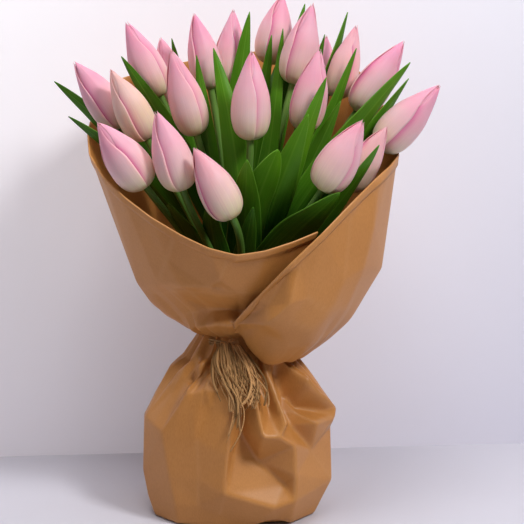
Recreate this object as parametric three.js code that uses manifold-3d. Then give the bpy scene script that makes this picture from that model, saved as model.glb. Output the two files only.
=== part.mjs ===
// A free-standing, hand-tied bouquet of closed tulips in kraft paper.
//
// Inside out: the stems stand in a little water in a clear film pouch and are held by an elastic band.
// A base sheet of kraft paper is gathered round the pouch and stands flat on the table. A second, larger
// sheet makes the collar round the flowers. Both papers are drawn in to one neck, tied with raffia.
//
// Millimetres, +Z up. The origin is the centre of the flat underside, on the axis of the neck.
// The front, where the collar is low and its free edge crosses, faces -Y.
import * as THREE from 'three';
import { mergeVertices } from 'three/addons/utils/BufferGeometryUtils.js';
import Module from 'manifold-3d';

const wasm = await Module();
wasm.setup();

// ---- Driving dimensions -------------------------------------------------------------------------------
const STEM_DIAMETER = 5.4;
const STEM_SPREAD = 3.8;        // sunflower spacing of the stems inside the neck
const FOOT_HEIGHT = 8;          // cut ends above the table
const FOOT_SPLAY = 1.5;         // cut ends spread from the neck by this factor
const NECK_LOW = 118;           // the stems run straight and upright between these two heights
const NECK_HIGH = 138;
const TIE_HEIGHT = 128.5;        // middle of the raffia
const PAPER = 1.0;              // sheets are thicker than real paper, so that they are solid
const GAP = 0.6;                // clearance kept round a leaf
const BAG_DEPTH = 0.8;          // the bag's depth over its width, at the table
const BAG_SQUARENESS = 3;       // exponent of the bag's rounded square outline at the table (2 is an ellipse)
const BAG_LEAN = -4.5;          // the bag's belly stands this far to the left of the neck
const LEAF_THICKNESS = 1.2;

// Each flower: centre of its base, its tip, and its widest diameter.
const FLOWERS = [
  { base: [-84, 8, 280], tip: [-116, 2, 326], wide: 26 },
  { base: [-65, -8, 273], tip: [-89, -18, 322], wide: 26 },
  { base: [-57, 20, 301], tip: [-80, 14, 353], wide: 26 },
  { base: [-46, 46, 292], tip: [-58, 44, 341], wide: 24 },
  { base: [-30, -8, 276], tip: [-47, -16, 336], wide: 26 },
  { base: [-21, 22, 306], tip: [-32, 18, 359], wide: 24 },
  { base: [-8, 48, 305], tip: [-5, 50, 361], wide: 24 },
  { base: [8, -30, 275], tip: [9, -34, 336], wide: 28 },
  { base: [21, 58, 321], tip: [31, 58, 371], wide: 27 },
  { base: [38, 26, 309], tip: [52, 24, 366], wide: 27 },
  { base: [45, -8, 279], tip: [56, -12, 336], wide: 26 },
  { base: [70, 35, 298], tip: [84, 36, 350], wide: 23 },
  { base: [57, 62, 295], tip: [64, 66, 341], wide: 23 },
  { base: [84, 16, 290], tip: [116, 11, 340], wide: 27 },
  { base: [99, -4, 266], tip: [140, -12, 311], wide: 29 },
  { base: [57, -50, 243], tip: [84, -58, 291], wide: 29 },
  { base: [76, -22, 239], tip: [102, -30, 284], wide: 24 },
  { base: [-64, -42, 244], tip: [-95, -52, 289], wide: 30 },
  { base: [-38, -50, 243], tip: [-55, -56, 297], wide: 28 },
  { base: [-4, -64, 226], tip: [-29, -70, 274], wide: 27 },
];

// Each leaf: the flower whose stem it clasps, the height where it leaves that stem, its tip measured from
// that flower's base, its width, and the compass direction that its back faces (-90 is the front).
const LEAVES = [
  { flower: 1, root: 200, tip: [-49, 8, 31], wide: 15, faces: -130 },
  { flower: 1, root: 190, tip: [-36, -20, 8], wide: 14, faces: -120 },
  { flower: 1, root: 200, tip: [-10, 26, 32], wide: 16, faces: 120 },
  { flower: 3, root: 185, tip: [-26, -18, 29], wide: 15, faces: -110 },
  { flower: 4, root: 195, tip: [-3, -16, 49], wide: 13, faces: -90 },
  { flower: 4, root: 190, tip: [-20, 20, 26], wide: 18, faces: 120 },
  { flower: 5, root: 180, tip: [0, 10, 55], wide: 14, faces: -80 },
  { flower: 7, root: 195, tip: [15, -14, 55], wide: 17, faces: -90 },
  { flower: 7, root: 185, tip: [-14, 22, 20], wide: 18, faces: 100 },
  { flower: 8, root: 175, tip: [-26, 30, 61], wide: 16, faces: -100 },
  { flower: 8, root: 170, tip: [-2, -36, -10], wide: 20, faces: -90 },
  { flower: 8, root: 178, tip: [19, -26, -5], wide: 18, faces: -70 },
  { flower: 9, root: 200, tip: [2, -18, 22], wide: 12, faces: -90 },
  { flower: 9, root: 190, tip: [12, 22, 12], wide: 18, faces: 80 },
  { flower: 10, root: 200, tip: [-7, 4, 39], wide: 11, faces: -120 },
  { flower: 10, root: 190, tip: [9, 20, 56], wide: 14, faces: -80 },
  { flower: 11, root: 172, tip: [15, -19, 39], wide: 16, faces: -70 },
  { flower: 11, root: 182, tip: [3, -28, 14], wide: 18, faces: -100 },
  { flower: 12, root: 190, tip: [9, 14, 61], wide: 14, faces: -60 },
  { flower: 12, root: 200, tip: [13, -18, 37], wide: 12, faces: -70 },
  { flower: 13, root: 190, tip: [5, -12, 48], wide: 12, faces: -90 },
  { flower: 13, root: 185, tip: [20, 14, 14], wide: 17, faces: 50 },
  { flower: 14, root: 185, tip: [36, -20, 36], wide: 17, faces: -60 },
  { flower: 14, root: 190, tip: [-13, -30, 10], wide: 14, faces: -90 },
  { flower: 15, root: 195, tip: [21, 14, 48], wide: 14, faces: -40 },
  { flower: 16, root: 165, tip: [11, -17, -3], wide: 20, faces: -70 },
  { flower: 17, root: 175, tip: [20, -24, 34], wide: 15, faces: -60 },
  { flower: 18, root: 180, tip: [16, -8, -10], wide: 16, faces: -120 },
  { flower: 19, root: 170, tip: [18, -6, -6], wide: 16, faces: -100 },
  { flower: 20, root: 165, tip: [14, 4, 6], wide: 15, faces: -95 },
];

// The collar sheet is one paper wound round the neck a little more than once, so it laps over itself in
// front. Each station is a compass direction (it counts on past a full turn) and the paper's section there,
// from the neck outwards as [radius, height]: the gathered shoulder, the fold, the belly and the rim.
const COLLAR = [
  { at: 310, section: [[31, 138], [37, 152], [46, 160], [56, 168], [83, 216]] },
  { at: 270, section: [[32, 138], [41, 154], [52, 162], [59, 166], [80, 202]] },
  { at: 250, section: [[33, 137], [43, 152], [54, 161], [60, 166], [82, 210]] },
  { at: 225, section: [[34, 136], [46, 147], [56, 157], [63, 165], [89, 229]] },
  { at: 200, section: [[34, 136], [51, 144], [64, 155], [75, 167], [101, 252]] },
  { at: 180, section: [[34, 136], [51, 143], [64, 154], [76, 167], [108, 270]] },
  { at: 150, section: [[34, 136], [50, 144], [62, 154], [73, 168], [111, 308]] },
  { at: 90, section: [[34, 136], [45, 146], [55, 158], [63, 172], [93, 328]] },
  { at: 45, section: [[35, 137], [48, 134], [66, 147], [80, 168], [104, 325]] },
  { at: 25, section: [[36, 138], [48, 126], [76, 146], [96, 172], [107, 308]] },
  { at: 0, section: [[37, 138], [47, 118], [84, 145], [106, 177], [110, 262]] },
  { at: -17, section: [[37, 138], [48, 117], [85, 145], [103, 176], [106, 255]] },
  { at: -30, section: [[37, 138], [48, 116], [83, 143], [99, 174], [103, 247]] },
  { at: -42, section: [[36, 139], [48, 115], [80, 142], [96, 174], [101, 236]] },
  { at: -55, section: [[36, 139], [47, 115], [76, 140], [92, 170], [97, 217]] },
  { at: -69, section: [[35, 140], [46, 116], [70, 138], [84, 162], [89, 195]] },
  { at: -79, section: [[35, 141], [43, 124], [56, 138], [68, 154], [76, 175]] },
  { at: -84, section: [[35, 142], [39, 138], [46, 143], [54, 151], [62, 162]] },
  { at: -95, section: [[34, 140], [36, 139], [38, 141], [41, 144], [45, 148]] },
];
const COLLAR_COLUMNS = 38;
const COLLAR_NECK = { inner: 24.0, outer: 25.9, low: 125, high: 132.5 };

// The bag's outline, [half width, height], from the middle of its underside up to the neck.
const BAG = [
  [0, 0], [52, 0], [61, 1.5], [65, 6], [68, 20], [69, 54], [63, 74], [58, 88], [50, 105], [40, 114],
  [28, 120], [23.2, 124], [23.2, 142],
];

// ---- Materials ----------------------------------------------------------------------------------------
const finish = (color, roughness) => new THREE.MeshStandardMaterial({ color, roughness, metalness: 0 });
const petalPink = finish(0xe6a3b8, 0.5);
const leafGreen = finish(0x2e6b12, 0.45);
const kraftPaper = finish(0xb98258, 0.8);
const raffiaTan = finish(0xb08a5c, 0.85);
const clearFilm = finish(0xe8eef0, 0.1);
const waterBlue = finish(0xd6e4ea, 0.05);
const bandRubber = finish(0xa8a08c, 0.6);

// ---- Small tools --------------------------------------------------------------------------------------
const vector = ([x, y, z]) => new THREE.Vector3(x, y, z);
const degrees = THREE.MathUtils.degToRad;

// A closed body from rings of points that all have the same count: walls between rings, and flat caps.
function loft(rings) {
  const count = rings[0].length;
  const points = rings.flat();
  const faces = [];
  for (let row = 0; row < rings.length - 1; row += 1) {
    for (let k = 0; k < count; k += 1) {
      const a = row * count + k;
      const b = row * count + ((k + 1) % count);
      faces.push(a, b, b + count, a, b + count, a + count);
    }
  }
  const last = (rings.length - 1) * count;
  for (let k = 1; k < count - 1; k += 1) {
    faces.push(0, k + 1, k);
    faces.push(last, last + k, last + k + 1);
  }
  const geometry = new THREE.BufferGeometry().setFromPoints(points);
  geometry.setIndex(faces);
  return geometry;
}

// A thin closed sheet from two grids of points, its upper and its lower side.
function sheet(upper, lower) {
  const rows = upper.length;
  const columns = upper[0].length;
  const rings = [];
  for (let row = 0; row < rows; row += 1) {
    rings.push([...upper[row], ...lower[row].slice().reverse()]);
  }
  const geometry = loft(rings);
  // The caps of such a long, narrow ring are strips between its two sides.
  const walls = (rows - 1) * columns * 2 * 6;
  const faces = Array.from(geometry.getIndex().array).slice(0, walls);
  const ring = columns * 2;
  const end = (rows - 1) * ring;
  for (let k = 0; k < columns - 1; k += 1) {
    const under = ring - 1 - k;
    faces.push(k, under, under - 1, k, under - 1, k + 1);
    faces.push(end + k, end + k + 1, end + under - 1, end + k, end + under - 1, end + under);
  }
  geometry.setIndex(faces);
  return geometry;
}

function toSolid(geometry) {
  const plain = geometry.clone();
  plain.deleteAttribute('normal');
  plain.deleteAttribute('uv');
  const merged = mergeVertices(plain, 1e-4);
  const vertProperties = Float32Array.from(merged.getAttribute('position').array);
  const triVerts = Uint32Array.from(merged.getIndex().array);
  return new wasm.Manifold(new wasm.Mesh({ numProp: 3, vertProperties, triVerts }));
}

function toGeometry(solid) {
  const mesh = solid.getMesh();
  const geometry = new THREE.BufferGeometry();
  geometry.setAttribute('position', new THREE.BufferAttribute(mesh.vertProperties, 3));
  geometry.setIndex(Array.from(mesh.triVerts));
  return geometry;
}

const largestBody = (solid) => solid.decompose().sort((a, b) => b.volume() - a.volume())[0];

const bouquet = new THREE.Group();

function addPiece(name, geometry, material) {
  geometry.computeVertexNormals();
  const mesh = new THREE.Mesh(geometry, material);
  mesh.name = name;
  bouquet.add(mesh);
  return mesh;
}

// ---- Flowers ------------------------------------------------------------------------------------------
// A closed bud: round at the base, widest a third of the way up, and drawn to a point.
const BUD = [
  [0, 0], [0.4, 0.01], [0.75, 0.1], [0.96, 0.24], [0.98, 0.46], [0.78, 0.7], [0.4, 0.89], [0, 1],
];

function flowerGeometry({ base, tip, wide }, grow = 0) {
  const start = vector(base);
  const axis = vector(tip).sub(start);
  const length = axis.length() + 2 * grow;
  axis.normalize();
  const radius = wide / 2 + grow;
  const profile = BUD.map(([r, h]) => new THREE.Vector2(r * radius, h * length));
  const geometry = new THREE.LatheGeometry(profile, 10);
  geometry.rotateX(Math.PI / 2);
  const turn = new THREE.Quaternion().setFromUnitVectors(new THREE.Vector3(0, 0, 1), axis);
  geometry.applyQuaternion(turn);
  const foot = start.clone().addScaledVector(axis, -grow);
  return geometry.translate(foot.x, foot.y, foot.z);
}

// ---- Stems --------------------------------------------------------------------------------------------
// Sunflower order packs the stems evenly into the round neck.
const GOLDEN_ANGLE = Math.PI * (3 - Math.sqrt(5));
const slots = FLOWERS.map((flower, k) => {
  const radius = STEM_SPREAD * Math.sqrt(k + 0.5);
  const angle = k * GOLDEN_ANGLE;
  return new THREE.Vector2(radius * Math.cos(angle), radius * Math.sin(angle));
});

// Each flower takes a slot on its own side: pairs swap slots for as long as that shortens the stems.
function shareSlots() {
  const order = slots.map((slot, k) => k);
  const cost = (flower, slot) => {
    const [x, y] = FLOWERS[flower].base;
    return (x / 4 - slots[slot].x) ** 2 + (y / 4 - slots[slot].y) ** 2;
  };
  let changed = true;
  while (changed) {
    changed = false;
    for (let a = 0; a < order.length; a += 1) {
      for (let b = a + 1; b < order.length; b += 1) {
        const now = cost(a, order[a]) + cost(b, order[b]);
        const swapped = cost(a, order[b]) + cost(b, order[a]);
        if (swapped < now - 1e-6) {
          [order[a], order[b]] = [order[b], order[a]];
          changed = true;
        }
      }
    }
  }
  return order.map((slot) => slots[slot]);
}
const stemSlots = shareSlots();

// The middle line of a stem: splayed foot, upright through the neck, then a smooth bend to the flower.
class StemLine extends THREE.Curve {
  constructor(flower, slot) {
    super();
    const base = vector(flower.base);
    const axis = vector(flower.tip).sub(base).normalize();
    this.foot = new THREE.Vector3(slot.x * FOOT_SPLAY, slot.y * FOOT_SPLAY, FOOT_HEIGHT);
    this.low = new THREE.Vector3(slot.x, slot.y, NECK_LOW);
    this.high = new THREE.Vector3(slot.x, slot.y, NECK_HIGH);
    this.top = base.addScaledVector(axis, -0.35);
    const reach = this.top.distanceTo(this.high);
    const near = this.high.clone().add(new THREE.Vector3(0, 0, reach * 0.3));
    const far = this.top.clone().addScaledVector(axis, -reach * 0.25);
    this.bend = new THREE.CubicBezierCurve3(this.high, near, far, this.top);
    this.stretches = [this.low.distanceTo(this.foot), NECK_HIGH - NECK_LOW, this.bend.getLength()];
    this.total = this.stretches.reduce((sum, part) => sum + part, 0);
  }

  getPoint(u, target = new THREE.Vector3()) {
    const [below, neck, above] = this.stretches;
    const along = u * this.total;
    if (along <= below) return target.lerpVectors(this.foot, this.low, along / below);
    if (along <= below + neck) return target.lerpVectors(this.low, this.high, (along - below) / neck);
    return target.copy(this.bend.getPoint(Math.min(1, (along - below - neck) / above)));
  }

  // The point of the upper bend at a height, and the stem's direction there.
  atHeight(height) {
    let low = 0;
    let high = 1;
    for (let step = 0; step < 24; step += 1) {
      const middle = (low + high) / 2;
      if (this.bend.getPoint(middle).z < height) low = middle;
      else high = middle;
    }
    return { point: this.bend.getPoint(low), direction: this.bend.getTangent(low) };
  }
}
const stemLines = FLOWERS.map((flower, k) => new StemLine(flower, stemSlots[k]));

function stemGeometry(line, radius) {
  const section = new THREE.Shape(new THREE.Path().absarc(0, 0, radius, 0, Math.PI * 2).getPoints(4));
  return new THREE.ExtrudeGeometry(section, { steps: 11, bevelEnabled: false, extrudePath: line });
}

// ---- Leaves -------------------------------------------------------------------------------------------
// A long channelled blade: it clasps the stem, is widest a third of the way up and ends in a point.
function leafGeometry(leaf, grow = 0) {
  const { point, direction } = stemLines[leaf.flower - 1].atHeight(leaf.root);
  const tip = vector(FLOWERS[leaf.flower - 1].base).add(vector(leaf.tip));
  const bend = point.clone().addScaledVector(direction, point.distanceTo(tip) * 0.45);
  const spine = new THREE.QuadraticBezierCurve3(point, bend, tip);
  const compass = degrees(leaf.faces);
  const back = new THREE.Vector3(Math.cos(compass), Math.sin(compass), 0);
  const half = LEAF_THICKNESS / 2 + grow;
  const rings = [];
  const steps = 6;
  for (let k = 0; k <= steps; k += 1) {
    const t = k / steps;
    const centre = spine.getPoint(t);
    const along = spine.getTangent(t);
    const side = new THREE.Vector3().crossVectors(back, along).normalize();
    const out = new THREE.Vector3().crossVectors(along, side).normalize();
    const swell = 0.4 + 0.6 * THREE.MathUtils.smoothstep(t, 0, 0.35);
    const width = Math.max(0.7, (leaf.wide / 2) * swell * (1 - t ** 2.2)) + grow;
    const channel = width * 0.35;
    const place = (across, rise) => centre.clone().addScaledVector(side, across).addScaledVector(out, rise);
    rings.push([
      place(-width, -channel - half * 0.4),
      place(0, -half),
      place(width, -channel - half * 0.4),
      place(width, -channel + half * 0.4),
      place(0, half),
      place(-width, -channel + half * 0.4),
    ]);
  }
  return loft(rings);
}

// ---- Collar sheet -------------------------------------------------------------------------------------
// The sheet's section at any compass direction lies between the two stations on either side of it.
function collarSection(at) {
  const after = Math.max(1, COLLAR.findIndex((station) => station.at <= at));
  const from = COLLAR[after - 1];
  const to = COLLAR[after];
  const share = (from.at - at) / (from.at - to.at);
  const wound = (COLLAR[0].at - at) / 360;
  const neck = COLLAR_NECK.inner + (COLLAR_NECK.outer - COLLAR_NECK.inner) * wound;
  const shaped = from.section.map(([r, h], k) => new THREE.Vector2(
    r + (to.section[k][0] - r) * share,
    h + (to.section[k][1] - h) * share,
  ));
  const gathered = [COLLAR_NECK.low, COLLAR_NECK.high].map((h) => new THREE.Vector2(neck, h));
  return [...gathered, ...shaped];
}

// The two sides of the sheet, each offset square to its section.
function collarGeometry(grow = 0) {
  const first = COLLAR[0].at;
  const last = COLLAR[COLLAR.length - 1].at;
  const sides = { upper: [], lower: [] };
  for (let column = 0; column <= COLLAR_COLUMNS; column += 1) {
    const at = first + ((last - first) * column) / COLLAR_COLUMNS;
    const section = collarSection(at);
    const turn = degrees(at);
    const offset = (side) => section.map((p, k) => {
      const before = section[Math.max(0, k - 1)];
      const next = section[Math.min(section.length - 1, k + 1)];
      const along = next.clone().sub(before).normalize();
      const r = p.x + along.y * side;
      const h = p.y - along.x * side;
      return new THREE.Vector3(r * Math.cos(turn), r * Math.sin(turn), h);
    });
    sides.upper.push(offset(PAPER / 2 + grow));
    sides.lower.push(offset(-PAPER / 2 - grow));
  }
  return sheet(sides.upper, sides.lower);
}

// ---- Base sheet ---------------------------------------------------------------------------------------
// A bag with a flat underside. At the table it is less deep than wide and its corners are full, and at the
// neck it is round. Its belly stands a little to the left.
function bagGeometry() {
  const outside = BAG.map(([r, h]) => new THREE.Vector2(r, h));
  const inside = BAG.map(([r, h], k) => {
    const before = outside[Math.max(0, k - 1)];
    const next = outside[Math.min(BAG.length - 1, k + 1)];
    const along = next.clone().sub(before).normalize();
    return new THREE.Vector2(Math.max(0, r - along.y * PAPER), h + along.x * PAPER);
  });
  inside[BAG.length - 1].y = BAG[BAG.length - 1][1];
  const geometry = new THREE.LatheGeometry([...outside, ...inside.reverse()], 28);
  geometry.rotateX(Math.PI / 2);
  const position = geometry.getAttribute('position');
  for (let k = 0; k < position.count; k += 1) {
    const roundness = THREE.MathUtils.smoothstep(position.getZ(k), 40, 124);
    const power = BAG_SQUARENESS + (2 - BAG_SQUARENESS) * roundness;
    const angle = Math.atan2(position.getY(k), position.getX(k));
    const sides = Math.abs(Math.cos(angle)) ** power + Math.abs(Math.sin(angle)) ** power;
    const corner = sides ** (-1 / power);
    const lean = BAG_LEAN * (1 - THREE.MathUtils.smoothstep(position.getZ(k), 73, 118));
    position.setX(k, position.getX(k) * corner + lean);
    position.setY(k, position.getY(k) * corner * (BAG_DEPTH + (1 - BAG_DEPTH) * roundness));
  }
  return geometry;
}

// ---- Turned pieces: a closed profile of [radius, height] points ----------------------------------------
function turned(profile, segments) {
  const points = profile.map(([r, h]) => new THREE.Vector2(r, h));
  return new THREE.LatheGeometry(points, segments).rotateX(Math.PI / 2);
}
const ring = (inner, outer, low, high) => [
  [inner, low], [outer, low], [outer, high], [inner, high], [inner, low],
];

// ---- Assembly -----------------------------------------------------------------------------------------
const nameOf = (kind, number) => `${kind}_${String(number).padStart(2, '0')}`;
const stemRadius = STEM_DIAMETER / 2;
const fatFlowers = FLOWERS.map((flower) => toSolid(flowerGeometry(flower, GAP)));
const fatStems = stemLines.map((line) => toSolid(stemGeometry(line, stemRadius + GAP)));
const fatCollar = toSolid(collarGeometry(GAP));
const fatLeaves = [];

FLOWERS.forEach((flower, k) => {
  addPiece(nameOf('bloom', k + 1), flowerGeometry(flower), petalPink);
});

FLOWERS.forEach((flower, k) => {
  const others = fatStems.filter((stem, other) => other !== k);
  const keepOut = wasm.Manifold.union([...others, ...fatFlowers, fatCollar]);
  let plant = toSolid(stemGeometry(stemLines[k], stemRadius));
  LEAVES.filter((leaf) => leaf.flower === k + 1).forEach((leaf) => {
    const blade = toSolid(leafGeometry(leaf)).subtract(wasm.Manifold.union([keepOut, ...fatLeaves]));
    plant = largestBody(plant.add(blade).asOriginal().simplify(0.3));
    fatLeaves.push(toSolid(leafGeometry(leaf, GAP)));
  });
  addPiece(nameOf('stem', k + 1), toGeometry(plant), leafGreen);
});

addPiece('kraft_collar', collarGeometry(), kraftPaper);
addPiece('kraft_base', bagGeometry(), kraftPaper);
addPiece('stem_band', turned(ring(19.9, 20.7, 124, 129), 24), bandRubber);

const pouch = [
  [0, 1.6], [36, 1.6], [38, 6], [39, 50], [33, 100], [21.8, 122], [21.8, 138], [21.2, 138], [21.2, 121.7],
  [32.4, 99.6], [38.4, 50], [37.4, 6.4], [35.7, 2.2], [0, 2.2],
];
addPiece('water_pouch', turned(pouch, 20), clearFilm);

const waterBody = toSolid(turned([[0, 2.6], [35, 2.6], [37, 6.7], [37.5, 46], [0, 46]], 20));
addPiece('water', toGeometry(waterBody.subtract(wasm.Manifold.union(fatStems))), waterBlue);

const binding = [[27, 126.5], [28.4, 126], [29.5, 127], [29.5, 130.5], [28.4, 131.5], [27, 131], [27, 126.5]];
addPiece('raffia_binding', turned(binding, 32), raffiaTan);

const knot = new THREE.SphereGeometry(1, 10, 7);
knot.scale(7, 5, 4);
knot.rotateX(Math.PI / 2);
addPiece('raffia_knot', knot, raffiaTan).position.set(-4, -34.2, TIE_HEIGHT);

// The loose raffia ends: one hank that hangs over the shoulder of the bag and down its front.
const hankLine = new THREE.CatmullRomCurve3([
  [-1, -44, 121], [2, -53, 111], [2, -60, 92], [-5, -63, 74], [-15, -63, 54],
].map(vector));
const hankSection = new THREE.Shape(new THREE.Path().absellipse(0, 0, 12, 2, 0, Math.PI * 2).getPoints(4));
const hank = new THREE.ExtrudeGeometry(hankSection, { steps: 8, bevelEnabled: false, extrudePath: hankLine });
addPiece('raffia_tassel', hank, raffiaTan);

export default bouquet;
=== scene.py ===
import math

import bpy
import numpy as np
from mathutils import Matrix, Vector, geometry


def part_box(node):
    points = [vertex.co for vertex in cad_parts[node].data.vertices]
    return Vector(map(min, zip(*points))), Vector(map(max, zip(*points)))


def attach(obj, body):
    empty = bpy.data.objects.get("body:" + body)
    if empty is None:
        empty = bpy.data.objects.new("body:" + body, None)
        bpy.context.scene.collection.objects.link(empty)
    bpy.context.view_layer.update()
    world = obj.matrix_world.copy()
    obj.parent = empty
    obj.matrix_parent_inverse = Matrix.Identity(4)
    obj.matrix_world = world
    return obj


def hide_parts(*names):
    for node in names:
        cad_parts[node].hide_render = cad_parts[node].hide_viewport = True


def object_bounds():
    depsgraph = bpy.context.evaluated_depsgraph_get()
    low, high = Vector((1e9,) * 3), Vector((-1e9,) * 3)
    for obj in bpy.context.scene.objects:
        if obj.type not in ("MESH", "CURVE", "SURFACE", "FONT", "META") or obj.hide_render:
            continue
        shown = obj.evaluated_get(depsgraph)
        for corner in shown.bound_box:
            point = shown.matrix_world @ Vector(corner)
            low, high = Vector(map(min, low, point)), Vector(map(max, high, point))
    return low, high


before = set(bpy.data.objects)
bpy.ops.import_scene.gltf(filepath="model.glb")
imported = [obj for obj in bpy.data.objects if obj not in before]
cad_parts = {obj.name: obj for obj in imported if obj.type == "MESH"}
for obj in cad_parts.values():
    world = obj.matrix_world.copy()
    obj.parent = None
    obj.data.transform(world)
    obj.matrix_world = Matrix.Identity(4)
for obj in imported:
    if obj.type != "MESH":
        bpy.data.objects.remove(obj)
cad_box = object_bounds()
mm = 0.001


# ---- Camera, table and light --------------------------------------------------------------------------
# The bouquet stands on a pale table in front of a pale wall, seen a little from above through a long
# lens. Three large soft lamps and an even sky light it, the strongest from the front right.
camera_aim = Vector((0.016, 0.0, 0.183))
camera_distance = 1.15
camera_rise = math.radians(11)
view_width = 0.3773
camera_data = bpy.data.cameras.new("camera")
camera_data.sensor_width = 36
camera_data.lens = 36 * camera_distance / view_width
camera = bpy.data.objects.new("camera", camera_data)
camera.location = camera_aim + camera_distance * Vector((0, -math.cos(camera_rise), math.sin(camera_rise)))
camera.rotation_euler = (math.pi / 2 - camera_rise, 0, 0)
bpy.context.collection.objects.link(camera)
bpy.context.scene.camera = camera
bpy.context.scene.view_settings.view_transform = "Standard"


def new_material(name, **sockets):
    """A material with one Principled shader whose constant inputs are set by name."""
    material = bpy.data.materials.new(name)
    material.use_nodes = True
    shader = material.node_tree.nodes["Principled BSDF"]
    for socket, value in sockets.items():
        shader.inputs[socket.replace("_", " ")].default_value = value
    return material


def node(material, kind, inputs=None, **settings):
    """One node: settings are its properties, inputs maps a socket to a number, colour or other output."""
    made = material.node_tree.nodes.new(kind)
    for name, value in settings.items():
        setattr(made, name, value)
    for socket, value in (inputs or {}).items():
        if isinstance(value, bpy.types.NodeSocket):
            material.node_tree.links.new(value, made.inputs[socket])
        else:
            made.inputs[socket].default_value = value
    return made


def drive(material, socket, output):
    """Feeds an output into a socket of the material's Principled shader."""
    shader = material.node_tree.nodes["Principled BSDF"]
    material.node_tree.links.new(output, shader.inputs[socket])


def blend(material, factor, first, second, how="MIX"):
    """Two colours mixed by a factor."""
    made = node(material, "ShaderNodeMix", data_type="RGBA", blend_type=how)
    for socket, value in ((0, factor), (6, first), (7, second)):
        if isinstance(value, bpy.types.NodeSocket):
            material.node_tree.links.new(value, made.inputs[socket])
        elif isinstance(value, tuple):
            made.inputs[socket].default_value = (*value, 1)
        else:
            made.inputs[socket].default_value = value
    return made.outputs[2]


def noise(material, where, scale, detail=2.0, stretch=None):
    """Noise at a scale in features a metre, drawn out along an axis where stretch is small."""
    if stretch is not None:
        where = node(material, "ShaderNodeMapping", {"Vector": where, "Scale": stretch}).outputs["Vector"]
    made = node(material, "ShaderNodeTexNoise", {"Vector": where, "Scale": scale, "Detail": detail})
    return made.outputs["Fac"]


def in_object(material):
    return node(material, "ShaderNodeTexCoord").outputs["Object"]


def surface(name, points, material, wraps=False, uv=None, flip=False):
    """A smooth mesh of quads over a grid of points (rows, columns, 3), or over several such grids stacked
    in front (sheets, rows, columns, 3). wraps joins the last column to the first."""
    rows, columns = points.shape[-3:-1]
    index = np.arange(rows * columns).reshape(rows, columns)
    beside = np.roll(index, -1, axis=1)
    if not wraps:
        index, beside = index[:, :-1], beside[:, :-1]
    quads = np.stack([index[:-1], beside[:-1], beside[1:], index[1:]], axis=-1).reshape(-1, 4)
    if flip:
        quads = quads[:, ::-1]
    sheets = points.size // (3 * rows * columns)
    quads = (quads[None] + rows * columns * np.arange(sheets)[:, None, None]).reshape(-1, 4)
    mesh = bpy.data.meshes.new(name)
    mesh.vertices.add(points.size // 3)
    mesh.vertices.foreach_set("co", points.astype(np.float32).ravel())
    mesh.loops.add(quads.size)
    mesh.loops.foreach_set("vertex_index", quads.ravel().astype(np.int32))
    mesh.polygons.add(len(quads))
    mesh.polygons.foreach_set("loop_start", np.arange(0, quads.size, 4, dtype=np.int32))
    mesh.polygons.foreach_set("use_smooth", np.ones(len(quads), dtype=bool))
    mesh.update(calc_edges=True)
    if uv is not None:
        layer = mesh.uv_layers.new(name="shape")
        layer.data.foreach_set("uv", uv.reshape(-1, 2)[quads.ravel()].astype(np.float32).ravel())
    mesh.materials.append(material)
    made = bpy.data.objects.new(name, mesh)
    bpy.context.collection.objects.link(made)
    return made


def flat_panel(name, corners, material):
    grid = np.array(corners, dtype=float).reshape(2, 2, 3)
    return surface(name, grid, material)


table_top = new_material("pale_table", Roughness=0.55)
wall_paint = new_material("pale_wall", Roughness=0.9)
clouds = noise(table_top, in_object(table_top), 1.6, 2.0)
drive(table_top, "Base Color", blend(table_top, clouds, (0.58, 0.57, 0.63), (0.63, 0.62, 0.69)))
# Painted light and shade: the wall is paler towards the top and the left and duller low down and to the
# right, where less light falls.
place = node(wall_paint, "ShaderNodeSeparateXYZ", {"Vector": in_object(wall_paint)})
low_wall = node(wall_paint, "ShaderNodeMapRange", {"Value": place.outputs["X"], 1: -0.25, 2: 0.3})
low_tone = blend(wall_paint, low_wall.outputs["Result"], (0.78, 0.74, 0.79), (0.55, 0.54, 0.63))
high_tone = blend(wall_paint, low_wall.outputs["Result"], (0.95, 0.93, 0.95), (0.66, 0.65, 0.71))
rise = node(wall_paint, "ShaderNodeMapRange", {"Value": place.outputs["Z"], 1: 0.02, 2: 0.42})
wall_light_and_shade = blend(wall_paint, rise.outputs["Result"], low_tone, high_tone)
drive(wall_paint, "Base Color", wall_light_and_shade)
# Painted light: the wall also glows a little with its own painted colour, though it is no lamp.
drive(wall_paint, "Emission Color", wall_light_and_shade)
wall_paint.node_tree.nodes["Principled BSDF"].inputs["Emission Strength"].default_value = 0.22
# The wall is seen from its front only, so that it never hides the bouquet from behind.
behind = node(wall_paint, "ShaderNodeNewGeometry").outputs["Backfacing"]
clear = node(wall_paint, "ShaderNodeBsdfTransparent").outputs["BSDF"]
wall_shader = wall_paint.node_tree.nodes["Principled BSDF"].outputs["BSDF"]
one_sided = node(wall_paint, "ShaderNodeMixShader", {0: behind, 1: wall_shader, 2: clear})
output = wall_paint.node_tree.nodes["Material Output"]
wall_paint.node_tree.links.new(one_sided.outputs["Shader"], output.inputs["Surface"])

table = flat_panel("table", [(-3, -3, 0), (3, -3, 0), (-3, 3, 0), (3, 3, 0)], table_top)
wall_y = cad_box[1][1] + 0.035
wall = flat_panel("wall", [(-3, wall_y - 0.25, 0), (3, wall_y + 0.25, 0),
                           (-3, wall_y - 0.25, 3), (3, wall_y + 0.25, 3)], wall_paint)

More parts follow.
